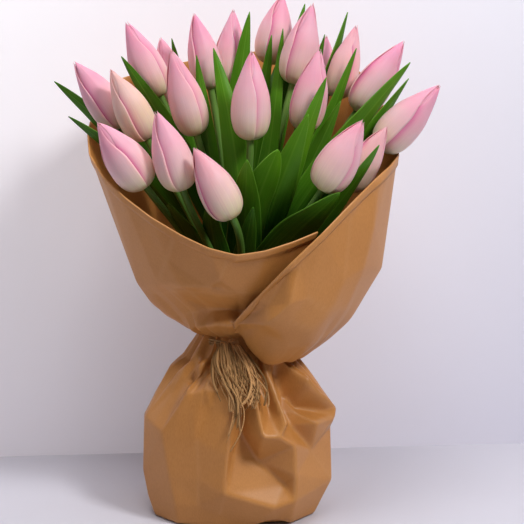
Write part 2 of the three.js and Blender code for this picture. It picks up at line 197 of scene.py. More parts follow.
for name, place, size, power in (
    ("key_lamp", (0.78, -0.78, 1.2), 0.3, 15),
    ("fill_lamp", (-1.2, -0.8, 0.6), 0.8, 1.3),
    ("top_lamp", (-0.1, -0.35, 1.35), 0.5, 7.5),
):
    lamp_data = bpy.data.lights.new(name, "AREA")
    lamp_data.size = size
    lamp_data.energy = power
    lamp = bpy.data.objects.new(name, lamp_data)
    lamp.location = place
    toward = Vector((0, 0, 0.2)) - Vector(place)
    lamp.rotation_euler = toward.to_track_quat("-Z", "Y").to_euler()
    bpy.context.collection.objects.link(lamp)
sky = bpy.data.worlds.new("sky")
sky.use_nodes = True
sky.node_tree.nodes["Background"].inputs["Color"].default_value = (0.90, 0.88, 0.90, 1)
sky.node_tree.nodes["Background"].inputs["Strength"].default_value = 0.07
bpy.context.scene.world = sky


# ---- Loose raffia ends --------------------------------------------------------------------------------
# Dried palm fibre, split into thin flat strands. The ends of the tie hang from the knot, fan out over the
# shoulder of the bag, draw together again and trail down its front.
knot_low, knot_high = (np.array(corner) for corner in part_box("raffia_knot"))
knot_centre = (knot_low + knot_high) / 2


def ramp(material, factor, stops):
    """A colour ramp through (position, colour) stops."""
    made = node(material, "ShaderNodeValToRGB", {"Fac": factor})
    line = made.color_ramp
    while len(line.elements) < len(stops):
        line.elements.new(0.5)
    for element, (position, colour) in zip(line.elements, stops):
        element.position = position
        element.color = (*colour, 1)
    return made.outputs["Color"]


def bump(material, height, strength, distance, under=None):
    """A bump from a height output; under is another bump that it adds to."""
    inputs = {"Height": height, "Strength": strength, "Distance": distance}
    if under is not None:
        inputs["Normal"] = under
    return node(material, "ShaderNodeBump", inputs).outputs["Normal"]


def in_uv(material):
    return node(material, "ShaderNodeTexCoord").outputs["UV"]


raffia = new_material("raffia_fibre", Roughness=0.7, Specular_IOR_Level=0.15)
along_fibre = in_uv(raffia)
grain = noise(raffia, along_fibre, 9.0, 4.0, stretch=(6.0, 0.6, 1.0))
straw = ramp(raffia, grain, [(0.3, (0.35, 0.16, 0.05)), (0.5, (0.58, 0.31, 0.12)), (0.8, (0.80, 0.50, 0.25))])
aged = node(raffia, "ShaderNodeAttribute", attribute_name="age").outputs["Fac"]
drive(raffia, "Base Color", blend(raffia, aged, straw, (0.12, 0.062, 0.018)))
drive(raffia, "Normal", bump(raffia, grain, 0.5, 0.2 * mm))


def through(points, count):
    """A smooth line of count points through a few: cubics whose slopes come from the neighbours."""
    points = np.asarray(points, dtype=float)
    steps = np.linspace(0, len(points) - 1, count)
    k = np.minimum(steps.astype(int), len(points) - 2)
    t = (steps - k)[:, None]
    slope = np.gradient(points, axis=0)
    a, b, sa, sb = points[k], points[k + 1], slope[k], slope[k + 1]
    return ((2 * t**3 - 3 * t**2 + 1) * a + (t**3 - 2 * t**2 + t) * sa
            + (3 * t**2 - 2 * t**3) * b + (t**3 - t**2) * sb)


def smooth_step(x):
    """0 below 0, 1 above 1 and the cubic 3x^2 - 2x^3 between."""
    x = np.clip(x, 0, 1)
    return x * x * (3 - 2 * x)


def unit(vectors):
    return vectors / np.maximum(np.linalg.norm(vectors, axis=-1, keepdims=True), 1e-12)


def strand(name, line, wide, thick, material, sides=8):
    """A closed flat fibre: an ellipse carried along a line, its broad side turned to face outwards (-Y),
    drawn in to a small blunt end at both ends."""
    along = unit(np.gradient(line, axis=0))
    across = unit(np.cross(along, np.array([0.0, -1.0, 0.0])))
    out = np.cross(across, along)
    ends = np.linspace(0, 1, len(line))
    full = np.clip(np.minimum(ends, 1 - ends) * 40, 0.35, 1)[:, None, None] ** 0.5
    turn = np.linspace(0, 2 * np.pi, sides, endpoint=False)[None, :, None]
    ring = np.cos(turn) * across[:, None] * wide / 2 + np.sin(turn) * out[:, None] * thick / 2
    points = line[:, None] + full * ring
    around = np.broadcast_to(np.arange(sides) / sides, points.shape[:2])
    length = np.broadcast_to(ends[:, None], points.shape[:2])
    return close_ends(surface(name, points, material, wraps=True, uv=np.stack([around, length], -1)), sides)


def close_ends(tube, sides):
    """Caps the first and last ring of a tube with one polygon each, facing outwards."""
    mesh = tube.data
    count = len(mesh.vertices)
    first = list(range(sides))[::-1]
    last = list(range(count - sides, count))
    start = len(mesh.loops)
    mesh.loops.add(2 * sides)
    everything = np.empty(start + 2 * sides, dtype=np.int32)
    mesh.loops.foreach_get("vertex_index", everything)
    everything[start:] = first + last
    mesh.loops.foreach_set("vertex_index", everything)
    faces = len(mesh.polygons)
    mesh.polygons.add(2)
    starts = np.empty(faces + 2, dtype=np.int32)
    mesh.polygons.foreach_get("loop_start", starts)
    starts[faces:] = (start, start + sides)
    mesh.polygons.foreach_set("loop_start", starts)
    mesh.update(calc_edges=True)
    return tube


def mark(piece, name, values):
    """Stores one number for each point of a piece."""
    piece.data.attributes.new(name, "FLOAT", "POINT").data.foreach_set(
        "value", values.astype(np.float32).ravel())


# Each guide line, in millimetres: where it leaves the knot, then the points it hangs through. The loose
# fibres lie between neighbouring guides. Most are short, and a few trail on down the front.
short_guides = np.array([
    [(-14, -36, 131), (-19, -42, 122), (-19, -49, 112), (-15, -54, 103), (-9, -59, 94)],
    [(-12, -37, 132), (-15, -46, 120), (-13, -53, 109), (-9, -58, 99), (-6, -62, 88)],
    [(-10, -38, 133), (-9, -49, 119), (-6, -55, 107), (-3, -60, 97), (-4, -63, 85)],
    [(-7, -39, 133), (-3, -50, 118), (2, -56, 106), (4, -61, 96), (1, -63, 84)],
    [(-5, -39, 132), (3, -50, 117), (9, -56, 105), (10, -60, 96), (6, -62, 84)],
    [(-2, -38, 132), (9, -48, 118), (16, -53, 107), (16, -58, 97), (12, -61, 86)],
    [(0, -37, 131), (13, -45, 119), (20, -50, 109), (20, -56, 99), (16, -60, 89)],
], dtype=float)
long_guides = np.array([
    [(-11, -38, 132), (-14, -48, 118), (-12, -56, 105), (-6, -61, 92), (-10, -65, 74), (-22, -65, 54)],
    [(-6, -39, 132), (-5, -51, 116), (-4, -58, 103), (-2, -63, 90), (-7, -67, 72), (-16, -66, 52)],
    [(-2, -39, 132), (5, -50, 115), (5, -58, 101), (1, -63, 90), (5, -67, 80), (11, -67, 72)],
], dtype=float)
fibre_chance = np.random.default_rng(4)


def between_guides(guides, sway):
    """A line down the fan of guides that drifts across it from one random share to another, so that fibres
    cross. It stands a random amount proud, swings in one long wave and stops a random part of the way."""
    steps = 40
    t = np.linspace(0, 1, steps)
    fan = np.array([through(guide, steps) for guide in guides])
    first, last = fibre_chance.uniform(0, len(guides) - 1, 2)
    seat = np.clip(first + (last - first) * t * 0.9, 0, len(guides) - 1.001)
    k = seat.astype(int)
    part = (seat - k)[:, None]
    line = fan[k, np.arange(steps)] * (1 - part) + fan[k + 1, np.arange(steps)] * part
    turns, start, far, proud = fibre_chance.uniform((0.3, 0, 0.6, 0), (1.1, 6.3, 1.0, 3.5))
    swing = (np.sin(2 * np.pi * turns * t + start) - math.sin(start)) * t**0.5
    side, up = fibre_chance.normal(0, 1, 2)
    line = line + sway * swing[:, None] * np.array([side, 0.0, 0.5 * up])
    line[:, 1] -= proud * np.sin(np.pi * t) + 0.3 * sway * np.abs(swing * side)
    return line[:max(16, int(steps * far))]


raffia_lines = [between_guides(short_guides, 2.6) * mm for _ in range(56)]
raffia_lines += [between_guides(long_guides, 1.8) * mm for _ in range(10)]
for number, line in enumerate(raffia_lines, 1):
    wide = (0.5, 0.8, 1.1, 1.5)[number % 4] * mm
    fibre = strand(f"raffia_end_{number:02d}", line, wide, 0.35 * mm, raffia)
    mark(fibre, "age", np.full(len(fibre.data.vertices), (0.0, 0.55, 0.2, 0.8, 0.35)[number % 5]))
    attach(fibre, "root")
    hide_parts("raffia_tassel")


# ---- Raffia tie ---------------------------------------------------------------------------------------
# Several turns of the same fibre wound round the waist over the paper, one beside and over another, and
# finished in a small knot at the front.
tie_low, tie_high = (np.array(corner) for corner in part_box("raffia_binding"))
tie_height = (tie_low[2] + tie_high[2]) / 2
tie_radius = (tie_high[0] - tie_low[0]) / 2


def wound(turns, radius, height, rise, phase):
    """A line wound round the neck: the radius and height swing a little as it goes round."""
    turn = np.linspace(0, 2 * np.pi * turns, int(72 * turns))
    out = radius + 0.4 * mm * np.sin(2.7 * turn + phase)
    up = height + rise * (turn / turn[-1] - 0.5) + 0.5 * mm * np.sin(1.3 * turn + 2 * phase)
    turn = turn - np.pi / 2
    return np.stack([out * np.cos(turn), out * np.sin(turn), up], axis=1)


for number, (radius, height, rise) in enumerate((
    (-1.4, -1.2, 3.0), (-1.0, 1.4, -2.4), (-0.5, 0.2, 2.6), (-0.6, -1.8, 1.0),
), 1):
    line = wound(1.96, tie_radius + radius * mm, tie_height + height * mm, rise * mm, 1.9 * number)
    wrap = strand(f"raffia_turns_{number}", line, 1.5 * mm, 0.9 * mm, raffia)
    mark(wrap, "age", np.full(len(wrap.data.vertices), 0.5))
    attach(wrap, "root")
    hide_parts("raffia_binding")

for number in range(5):
    turn = np.linspace(0, 2 * np.pi * 0.97, 60)
    tilt = 0.65 * number
    loop = np.stack([(3.6 + 0.7 * number) * np.cos(turn), 1.6 * np.sin(2 * turn + number),
                     (4.2 - 0.4 * number) * np.sin(turn)], axis=1) * mm
    swing = np.array([[math.cos(tilt), 0, -math.sin(tilt)], [0, 1, 0], [math.sin(tilt), 0, math.cos(tilt)]])
    knot_line = knot_centre + loop @ swing.T
    knot_loop = strand(f"raffia_knot_loop_{number + 1}", knot_line, 1.7 * mm, 1.1 * mm, raffia)
    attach(knot_loop, "root")
    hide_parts("raffia_knot")


# ---- Water, pouch and band ----------------------------------------------------------------------------
# Hidden inside the paper: a film pouch with a little water round the cut stems, and an elastic band that
# holds the stems. Their CAD shapes are kept.
film = new_material("clear_film", Base_Color=(0.86, 0.9, 0.92, 1), Roughness=0.12, Alpha=0.35)
wrinkle = noise(film, in_object(film), 60.0, 3.0)
drive(film, "Normal", bump(film, wrinkle, 0.6, 1.0 * mm))
water = new_material("still_water", Base_Color=(0.82, 0.9, 0.92, 1), Roughness=0.03, IOR=1.33,
                     Transmission_Weight=0.95)
drive(water, "Normal", bump(water, noise(water, in_object(water), 25.0), 0.1, 0.5 * mm))
elastic = new_material("elastic_band", Roughness=0.65)
drive(elastic, "Base Color", blend(elastic, noise(elastic, in_object(elastic), 900.0), (0.36, 0.3, 0.22),
                                   (0.46, 0.4, 0.3)))
for cad_name, finish in (("water_pouch", film), ("water", water), ("stem_band", elastic)):
    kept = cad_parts[cad_name]
    kept.data.materials.clear()
    kept.data.materials.append(finish)


# ---- Base sheet ---------------------------------------------------------------------------------------
# A strip of brown kraft paper rolled to a tube round the pouch, folded under it and pleated into the neck.
# It is stiff enough to stay in flat facets with sharp creases, so the bag stands on its folded underside.
kraft = new_material("kraft_paper", Roughness=0.42, Specular_IOR_Level=0.36)
spot = in_object(kraft)
fibres = noise(kraft, spot, 1500.0, 3.0, stretch=(1.0, 1.0, 0.25))
pulp = noise(kraft, spot, 260.0, 5.0)
cloudy = noise(kraft, spot, 14.0, 3.0)
brown = blend(kraft, pulp, (0.425, 0.170, 0.036), (0.51, 0.219, 0.055))
brown = blend(kraft, ramp(kraft, fibres, [(0.3, (0, 0, 0)), (0.75, (1, 1, 1))]), brown, (0.56, 0.25, 0.066))
clouded = ramp(kraft, cloudy, [(0.3, (0.38, 0.14, 0.026)), (0.7, (0.55, 0.24, 0.068))])
brown = blend(kraft, 0.35, brown, clouded)
worn = node(kraft, "ShaderNodeAttribute", attribute_name="crease").outputs["Fac"]
drive(kraft, "Base Color", blend(kraft, worn, brown, (0.62, 0.34, 0.15)))
drive(kraft, "Normal", bump(kraft, fibres, 0.12, 0.1 * mm, bump(kraft, cloudy, 0.25, 2.0 * mm)))


def normals_of(points, wraps):
    """The outward normal at each point of a grid, from the directions along its rows and columns."""
    if wraps:
        wide = np.concatenate([points[:, -1:], points, points[:, :1]], axis=1)
        across = np.gradient(wide, axis=1)[:, 1:-1]
    else:
        across = np.gradient(points, axis=1)
    return unit(np.cross(across, np.gradient(points, axis=0)))


def soften(points, passes, wraps, axes=(0, 1)):
    """Each point moves to the mean of itself and its neighbours, and the edges of the sheet stay."""
    for _ in range(passes):
        for axis in axes:
            before, after = np.roll(points, 1, axis=axis), np.roll(points, -1, axis=axis)
            mean = points / 2 + before / 4 + after / 4
            if axis == 0 or not wraps:
                inner = [slice(None)] * 3
                inner[axis] = slice(1, -1)
                points = points.copy()
                points[tuple(inner)] = mean[tuple(inner)]
            else:
                points = mean
    return points


def fold_flat(points, across, along, folds, share, wraps):
    """Breaks a smooth sheet into flat facets. Folds are lines of (across, along, bump in millimetres); they
    and the gaps between them are divided into triangles, and each point moves by share towards the plane of
    its triangle. Returns the points and how near each lies to a fold, from 0 to 1."""
    flat = points.reshape(-1, 3)
    normal = normals_of(points, wraps).reshape(-1, 3)
    place = np.stack([across.ravel(), along.ravel()], axis=1)
    share = np.broadcast_to(share, across.shape).ravel()[:, None]
    spots, solid, lines = [], [], []
    for shift in ((-360.0, 0.0, 360.0) if wraps else (0.0,)):
        for fold in folds:
            for step, (u, v, rise) in enumerate(fold):
                seat = int(np.argmin((place[:, 0] - u) ** 2 + (place[:, 1] - v) ** 2))
                if step:
                    lines.append((len(spots) - 1, len(spots)))
                spots.append(Vector((u + shift, v)))
                solid.append(flat[seat] + normal[seat] * rise * mm)
    made = geometry.delaunay_2d_cdt(spots, lines, [], 0, 1e-3)
    vertices = np.array([tuple(v) for v in made[0]])
    # A point where two folds cross has no height of its own, so it takes that of the nearest corner.
    nearest = [ids[0] if ids else min(range(len(spots)), key=lambda k: (spots[k] - v).length)
               for ids, v in zip(made[3], made[0])]
    solid = np.array(solid)[nearest]
    moved = flat.copy()
    low, high = place.min(axis=0), place.max(axis=0)
    for corners in made[2]:
        (pa, pb, pc), (sa, sb, sc) = vertices[corners], solid[corners]
        area = (pb[0] - pa[0]) * (pc[1] - pa[1]) - (pc[0] - pa[0]) * (pb[1] - pa[1])
        outside = (np.maximum(np.maximum(pa, pb), pc) < low) | (np.minimum(np.minimum(pa, pb), pc) > high)
        if abs(area) < 1e-9 or outside.any():
            continue
        wb = ((place[:, 0] - pa[0]) * (pc[1] - pa[1]) - (pc[0] - pa[0]) * (place[:, 1] - pa[1])) / area
        wc = ((pb[0] - pa[0]) * (place[:, 1] - pa[1]) - (place[:, 0] - pa[0]) * (pb[1] - pa[1])) / area
        inside = (wb > -1e-6) & (wc > -1e-6) & (wb + wc < 1 + 1e-6)
        weights = np.stack([1 - wb - wc, wb, wc], axis=1)[inside]
        plane = weights @ np.array([sa, sb, sc])
        moved[inside] = flat[inside] + share[inside] * (plane - flat[inside])
    edge = np.full(len(flat), 1e9)
    for one, other in lines:
        a, b = np.array(spots[one]), np.array(spots[other])
        t = np.clip(((place - a) @ (b - a)) / max((b - a) @ (b - a), 1e-9), 0, 1)
        edge = np.minimum(edge, np.linalg.norm(place - a - t[:, None] * (b - a), axis=1))
    return moved.reshape(points.shape), np.clip(1 - edge / 1.4, 0, 1).reshape(points.shape[:2])


def pleat(turn, count, seed):
    """A folded edge seen end on: a sharp wave round the neck whose folds are unevenly spaced, -1 to 1."""
    uneven = turn + 0.11 * np.sin(3 * turn + seed) + 0.07 * np.sin(7 * turn + 2.1 * seed)
    return 2 * np.abs(2 * ((uneven * count / (2 * np.pi)) % 1) - 1) - 1


def thicken(piece, amount):
    """Gives a sheet its thickness, inwards from the face that shows."""
    wall = piece.modifiers.new("paper_thickness", "SOLIDIFY")
    wall.thickness = amount
    wall.offset = -1


bag_low, bag_high = (np.array(corner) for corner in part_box("kraft_base"))
bag_half = (bag_high[0] - bag_low[0]) / 2
# The outline as (share of the half width, height in millimetres), from the middle of the underside. Its
# plan is a rounded square at the table and a circle at the neck, and the belly leans a little to the left.
bag_outline = np.array([
    (0, 0.3), (0.78, 0.3), (0.86, 1.5), (0.895, 6), (0.925, 20), (0.97, 54), (0.915, 74), (0.84, 88),
    (0.725, 105), (0.58, 114), (0.405, 120), (0.336, 124), (0.336, 141),
]) * [bag_half, mm]
bag_rows, bag_columns = 150, 300
outline_length = np.concatenate([[0], np.cumsum(np.linalg.norm(np.diff(bag_outline, axis=0), axis=1))])
walked = np.linspace(0, outline_length[-1], bag_rows)
bag_radius = np.interp(walked, outline_length, bag_outline[:, 0])
bag_height = np.interp(walked, outline_length, bag_outline[:, 1])
compass = np.linspace(-180, 180, bag_columns, endpoint=False)
radius, turn = np.meshgrid(bag_radius, np.radians(compass), indexing="ij")
height = np.broadcast_to(bag_height[:, None], radius.shape)
roundness = smooth_step((height / mm - 40) / 84)
squeeze = 0.8 + 0.2 * roundness
power = 3 - roundness
radius = radius * (np.abs(np.cos(turn)) ** power + np.abs(np.sin(turn)) ** power) ** (-1 / power)
bag_lean = -4.5 * mm
lean = bag_lean * smooth_step((118 - height / mm) / 45)
bag = np.stack([radius * np.cos(turn) + lean, radius * np.sin(turn) * squeeze, height], axis=-1)
bag = soften(bag, 5, True, axes=(0,))
bag[0, :, :2] = (bag_lean, 0)

# The folds: lines of (compass direction, distance walked up the outline in millimetres, bump outwards).
# The front is at -90. The lower right is crumpled into strong facets, and the left is nearly smooth.
floor_edge = outline_length[1] / mm
collar_line = outline_length[9] / mm
bag_folds = [
    [(-94, 178, 4), (-92.4, 152, 7), (-92.8, 117, 8), (-95, 89, 11), (-66, 77, 9.5), (-58.8, 90, -1)],
    [(-92.8, 117, 8), (-89.4, 114, -5), (-58.8, 90, -1)], [(-89.4, 114, -5), (-95, 89, 11)],
    [(-87, 150, -9), (-85, 130, -11), (-74.4, 107, -7), (-55.2, 121, 8), (-55.2, 100, 9), (-55.2, 81, 10)],
    [(-80.4, 171.5, 6), (-72, 131.6, 13), (-63.6, 130, 12), (-58.8, 139, 12), (-67.2, 180, 6)],
    [(-73, 172, -3), (-64.5, 146, -4), (-63.6, 130, 12)],
    [(-88, 165, -4), (-87, 150, -9)],
    [(-60, 165, -4), (-53, 146, -10), (-50.4, 134.5, -7), (-36, 110, -5), (-20.4, 86, 8), (-55.2, 81, 10)],
    [(-44, 181, 6), (-36, 162, 10), (-25, 145, 12), (-13.2, 134.5, 13), (4, 128, 5)],
    [(-48, 176, -8), (-44, 158, -13), (-36, 146, -12), (-24, 138, -1)],
    [(-42, 142, -3), (-38.4, 133, 8), (-16.8, 130, 11), (0, 118, 5)],
    [(-20.4, 86, 8), (-7, 72, 2), (12, 84, 2)],
    [(-66, 77, 9.5), (-64, 66, 2)], [(-95, 89, 11), (-98, 70, 2)], [(-20.4, 86, 8), (-22, 68, 2)],
    [(-121, 181, 1), (-123.6, 157, 5), (-106.8, 161, 3), (-118, 181, 1)],
    [(-150, 172, 1), (-141.6, 167, -4), (-127, 172, -4)],
    [(-141, 184, 4), (-131, 178, 5), (-124, 188, 1)],
    [(-170, 168, 2), (-158, 132, 3), (-160, 92, 2), (-156, 74, 1)],
    [(-136, 128, 1), (-128, 96, 1), (-126, 74, 1)], [(-112, 126, 1), (-111, 96, 2), (-112, 76, 1)],
    [(30, 172, 3), (24, 140, -3), (34, 110, 3), (28, 80, 1)], [(52, 168, -2), (58, 132, 4), (50, 96, -1)],
    [(80, 176, 3), (76, 144, -3), (88, 116, 3), (80, 84, 2)], [(106, 170, -2), (112, 128, 3), (104, 92, 0)],
    [(134, 174, 3), (128, 146, -2), (140, 112, 3), (132, 80, 1)],
    [(160, 168, -2), (164, 124, 3), (156, 90, 0)],
]
for corner in (-178, -152, -128, -104, -78, -52, -26, 0, 28, 58, 96, 140):
    bag_folds.append([(corner, floor_edge * 0.5, 0), (corner, floor_edge, 0),
                      (corner + 1, floor_edge + 6, 2)])
bag_folds += [[(-180 + 40 * k, 0, 0)] for k in range(9)]
bag_folds += [[(-180 + 10 * k, high / mm, 0)] for k in range(36) for high in outline_length[[9, -1]]]
up_bag = np.broadcast_to(walked[:, None] / mm, radius.shape)
round_bag = np.broadcast_to(compass[None, :], radius.shape)
bag, crease = fold_flat(bag, round_bag, up_bag, bag_folds, 1.0, True)
bag = soften(bag, 1, True)
gather = np.interp(height / mm, [60, 92, 112, 122, 141], [0, 0.7, 2.6, 1.6, 0.45])
bag = bag + normals_of(bag, True) * (gather * pleat(turn, 17, 1.0) * mm)[..., None]
bag[..., 2] = np.maximum(bag[..., 2], 0.3 * mm)
bag[0, :, :] = bag[0].mean(axis=0)
base_sheet = surface("kraft_base_sheet", bag, kraft, wraps=True)
mark(base_sheet, "crease", 0.14 * crease * (up_bag > floor_edge))
thicken(base_sheet, 0.3 * mm)
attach(base_sheet, "root")
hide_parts("kraft_base")


# ---- Collar sheet -------------------------------------------------------------------------------------
# A larger sheet of the same paper wound once and a little more round the flowers. Its lower part is drawn
# in under the raffia, it blouses over the tie, and its free edge falls across the front at a slant. The
# upper edge is turned in as a narrow hem.
collar_stations = [
    (310, [[31, 10], [37, 24], [46, 32], [56, 40], [83, 88]]),
    (285, [[46, 17], [37, 27], [57, 38], [62, 46], [80, 78]]),
    (270, [[48, 19], [33, 30], [62, 40], [65, 47], [80, 74]]),
    (250, [[49, 19], [33, 31], [65, 43], [69, 50], [82, 82]]),
    (238, [[48, 15], [36, 29], [67, 43], [72, 50], [86, 92]]),
    (225, [[45, 11], [41, 26], [68, 42], [75, 49], [90, 101]]),
    (213, [[44, 9], [50, 23], [70, 39], [79, 48], [96, 113]]),
    (200, [[35, 7], [52, 17], [68, 31], [80, 42], [102, 124]]),
    (180, [[35, 7], [53, 16], [68, 30], [80, 41], [108, 142]]),
    (150, [[34, 8], [51, 16], [66, 30], [78, 42], [111, 180]]),
    (90, [[34, 8], [45, 18], [55, 30], [63, 44], [93, 200]]),
    (45, [[35, 9], [48, 6], [66, 19], [80, 40], [104, 197]]),
    (25, [[36, 10], [48, -2], [76, 18], [96, 44], [107, 180]]),
    (0, [[37, 10], [47, -10], [84, 17], [106, 49], [114, 130]]),
    (-17, [[37, 10], [48, -11], [85, 17], [103, 48], [106, 127]]),
    (-30, [[37, 10], [48, -12], [83, 15], [99, 46], [103, 119]]),
    (-42, [[36, 11], [48, -13], [80, 14], [96, 46], [101, 108]]),
    (-55, [[36, 11], [47, -13], [76, 12], [92, 42], [97, 89]]),
    (-69, [[35, 12], [46, -12], [70, 10], [84, 34], [89, 67]]),
    (-79, [[35, 13], [43, -4], [56, 10], [68, 26], [76, 47]]),
    (-84, [[35, 14], [39, 10], [46, 15], [54, 23], [62, 34]]),
    (-95, [[34, 12], [36, 11], [38, 13], [41, 16], [45, 20]]),
]
collar_columns = 430
wound_to = np.linspace(collar_stations[0][0], collar_stations[-1][0], collar_columns)
station_at = np.array([station[0] for station in collar_stations], dtype=float)
station_shape = np.array([station[1] for station in collar_stations], dtype=float)
neck_radius = 24.0 + 1.9 * (station_at[0] - wound_to) / 360
shaped = np.stack([
    np.stack([np.interp(-wound_to, -station_at, station_shape[:, k, axis]) for axis in (0, 1)], axis=-1)
    for k in range(station_shape.shape[1])
])
below = np.stack([neck_radius, np.full(collar_columns, -3.0)], axis=-1)
above = np.stack([neck_radius, np.full(collar_columns, 4.5)], axis=-1)
section = np.concatenate([below[None], above[None], shaped]) * mm
section[..., 1] += tie_height - 0.75 * mm
steps_between = (4, 8, 12, 12, 8, 54)
rows = np.concatenate([k + np.arange(n) / n for k, n in enumerate(steps_between)] + [[len(steps_between)]])
lower = np.minimum(rows.astype(int), len(section) - 2)
share = (rows - lower)[:, None, None]
profile = section[lower] * (1 - share) + section[lower + 1] * share
profile = soften(profile, 3, False, axes=(0,))
profile = soften(profile, 40, False, axes=(1,))
turn = np.broadcast_to(np.radians(wound_to)[None, :], profile.shape[:2])
collar = np.stack([profile[..., 0] * np.cos(turn), profile[..., 0] * np.sin(turn), profile[..., 1]], axis=-1)

up_collar = np.broadcast_to(rows[:, None], profile.shape[:2]) * 20
round_collar = np.broadcast_to(wound_to[None, :], profile.shape[:2])
collar_folds = [
    [(214, 119, 0), (219.4, 96, 3), (236, 98, 0), (253.4, 100, 1), (268.5, 94, 1), (283, 97, 0),
     (296, 100, 0)],
    [(206, 82, 3), (224, 80, 3), (240, 80, 3), (256, 80, 2), (268, 80, 2), (284, 82, 1)],
    [(204, 62, -1), (222, 62, -3), (240, 61, -3), (256, 61, -3), (268, 60, -3), (284, 62, -1)],
    [(200, 46, 1), (213, 42, 1), (230, 44, 1), (247.7, 41, 2), (263, 40, 1), (280, 42, 1)],
    [(252, 30, 2), (254, 20, 0)], [(238, 30, -1), (239, 20, 0)], [(268, 30, -1), (268, 20, 0)],
    [(265.6, 119, 1), (260, 106, -2), (257, 100, 3)], [(240, 119, 0), (232, 108, 1), (219.4, 96, 3)],
    [(188, 118, 0), (198.6, 100, 4), (206, 82, 2)], [(196, 76, 0), (188, 62, 2), (182, 48, -1)],
    [(-68, 117, 3), (-76, 107, 3), (-73, 98, -4), (-66, 104, -3), (-63, 115, 2)],
    [(-22.3, 119, -1), (-26.1, 111, -2), (-29.9, 104, 0)], [(-6.3, 119, 1), (-6.3, 101, 3), (-16, 80, 2)],
    [(-58, 102, 3), (-46, 92, -1), (-33.6, 90, 2)],
    [(-60, 76, 3), (-47, 74, -3), (-33.6, 77, 4), (-15, 66, 0)],
    [(-40, 116, 1), (-41, 103, 1)], [(-64, 92, 1), (-52, 84, -1)],
    [(14, 118, 0), (18, 98, 3), (8, 80, 1)], [(38, 118, 1), (34, 96, -2), (42, 76, 2)],
    [(60, 118, -1), (66, 94, 3), (58, 72, 0)], [(86, 118, 1), (82, 96, -2), (90, 74, 2)],
    [(110, 118, 0), (114, 92, 3), (104, 70, 0)], [(136, 118, 1), (130, 98, -2), (138, 76, 2)],
    [(160, 118, 0), (164, 96, 3), (156, 74, 0)], [(298, 119, 0), (302, 100, 1), (296, 84, 0)],
]
last_row = up_collar[-1, 0]
collar_folds += [[(310 - 13.5 * k, level, 0)] for k in range(31) for level in (0, 22, last_row)]
in_front = smooth_step((round_collar - 192) / 12) * smooth_step((300 - round_collar) / 10)
stiff = 0.9 * np.maximum(smooth_step((up_collar - 66) / 16), in_front * smooth_step((up_collar - 24) / 12))
collar, crease = fold_flat(collar, round_collar, up_collar, collar_folds, stiff, False)
collar = soften(collar, 2, False)
gather = np.interp(up_collar, [0, 20, 34, 50, 70, 96], [0.1, 0.4, 1.5, 1.0, 0.6, 0])
collar = collar + normals_of(collar, False) * (gather * pleat(turn, 19, 2.0) * mm)[..., None]

# The hem: over the edge in a half round and a little way down the inside.
rim_up = unit(collar[-1] - collar[-3])
rim_out = normals_of(collar, False)[-1]
hem_round = 0.4 * mm
hem_turns = [(math.sin(a), 1 - math.cos(a), 0) for a in np.linspace(0.4, math.pi, 6)]
brace = collar[-1] - 0.3 * mm * rim_up
hem = [collar[-1] + hem_round * (up * rim_up - back * rim_out) for up, back, _ in hem_turns]
hem += [hem[-1] - depth * mm * rim_up for depth in (1.5, 3.5, 6.0)]
collar = np.concatenate([collar[:-1], [brace], collar[-1:], np.array(hem)])
crease = np.concatenate([crease, np.full((len(hem) + 1, collar_columns), 0.0)])
crease[-len(hem) - 2:-3] = 1.5
collar_sheet = surface("kraft_collar_sheet", collar, kraft, flip=True)
mark(collar_sheet, "crease", 0.14 * crease)
thicken(collar_sheet, 0.3 * mm)
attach(collar_sheet, "root")
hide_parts("kraft_collar")


# ---- Stems --------------------------------------------------------------------------------------------
# Round, smooth, pale green flower stems with a faint waxy bloom. They stand in the pouch, run side by side
# through the tied neck and spread out above it, each up to its own bud.
def green_skin(name, dark, light, pale, vein):
    """A waxy plant skin with fine veins along it, and light and shade painted by a share stored on the piece.
    """
    skin = new_material(name, Roughness=0.4, Specular_IOR_Level=0.2, Subsurface_Weight=0.06,
                        Subsurface_Radius=(0.3, 1.0, 0.15), Subsurface_Scale=1.5 * mm)
    along = in_uv(skin)
    veins = noise(skin, along, 1.0, 3.0, stretch=(vein, 1.6, 1.0))
    patches = noise(skin, in_object(skin), 30.0, 2.0)
    # Painted light and shade: the stored share mixes the shaded dark green with the lit light one.
    painted_light = node(skin, "ShaderNodeAttribute", attribute_name="painted_light").outputs["Fac"]
    green = blend(skin, painted_light, dark, light)
    green = blend(skin, ramp(skin, veins, [(0.42, (0, 0, 0)), (0.7, (0.22, 0.22, 0.22))]), green, pale)
    green = blend(skin, ramp(skin, patches, [(0.35, (0, 0, 0)), (0.7, (0.3, 0.3, 0.3))]), green, dark)
    edge = node(skin, "ShaderNodeAttribute", attribute_name="edge").outputs["Fac"]
    drive(skin, "Base Color", blend(skin, edge, green, pale))
    drive(skin, "Normal", bump(skin, veins, 0.25, 0.25 * mm))
    return skin


# The dark and light greens are a shaded and a lit copy of the stem green, mixed by the painted light share.
stem_skin = green_skin("stem_skin", (0.035, 0.11, 0.012), (0.16, 0.30, 0.06), (0.26, 0.42, 0.13), 30.0)


def bezier(controls, t):
    """Points and unit directions of the Bezier curve through its two outer controls."""
    order = len(controls) - 1
    t = np.asarray(t, dtype=float)[:, None]
    points = sum(math.comb(order, k) * (1 - t) ** (order - k) * t**k * c for k, c in enumerate(controls))
    steps = np.diff(controls, axis=0)
    way = sum(math.comb(order - 1, k) * (1 - t) ** (order - 1 - k) * t**k * c for k, c in enumerate(steps))
    return points, unit(way)


def corners_of(cad_name):
    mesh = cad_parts[cad_name].data
    flat = np.empty(3 * len(mesh.vertices), dtype=np.float32)
    mesh.vertices.foreach_get("co", flat)
    return np.unique(flat.reshape(-1, 3).astype(float).round(6), axis=0)


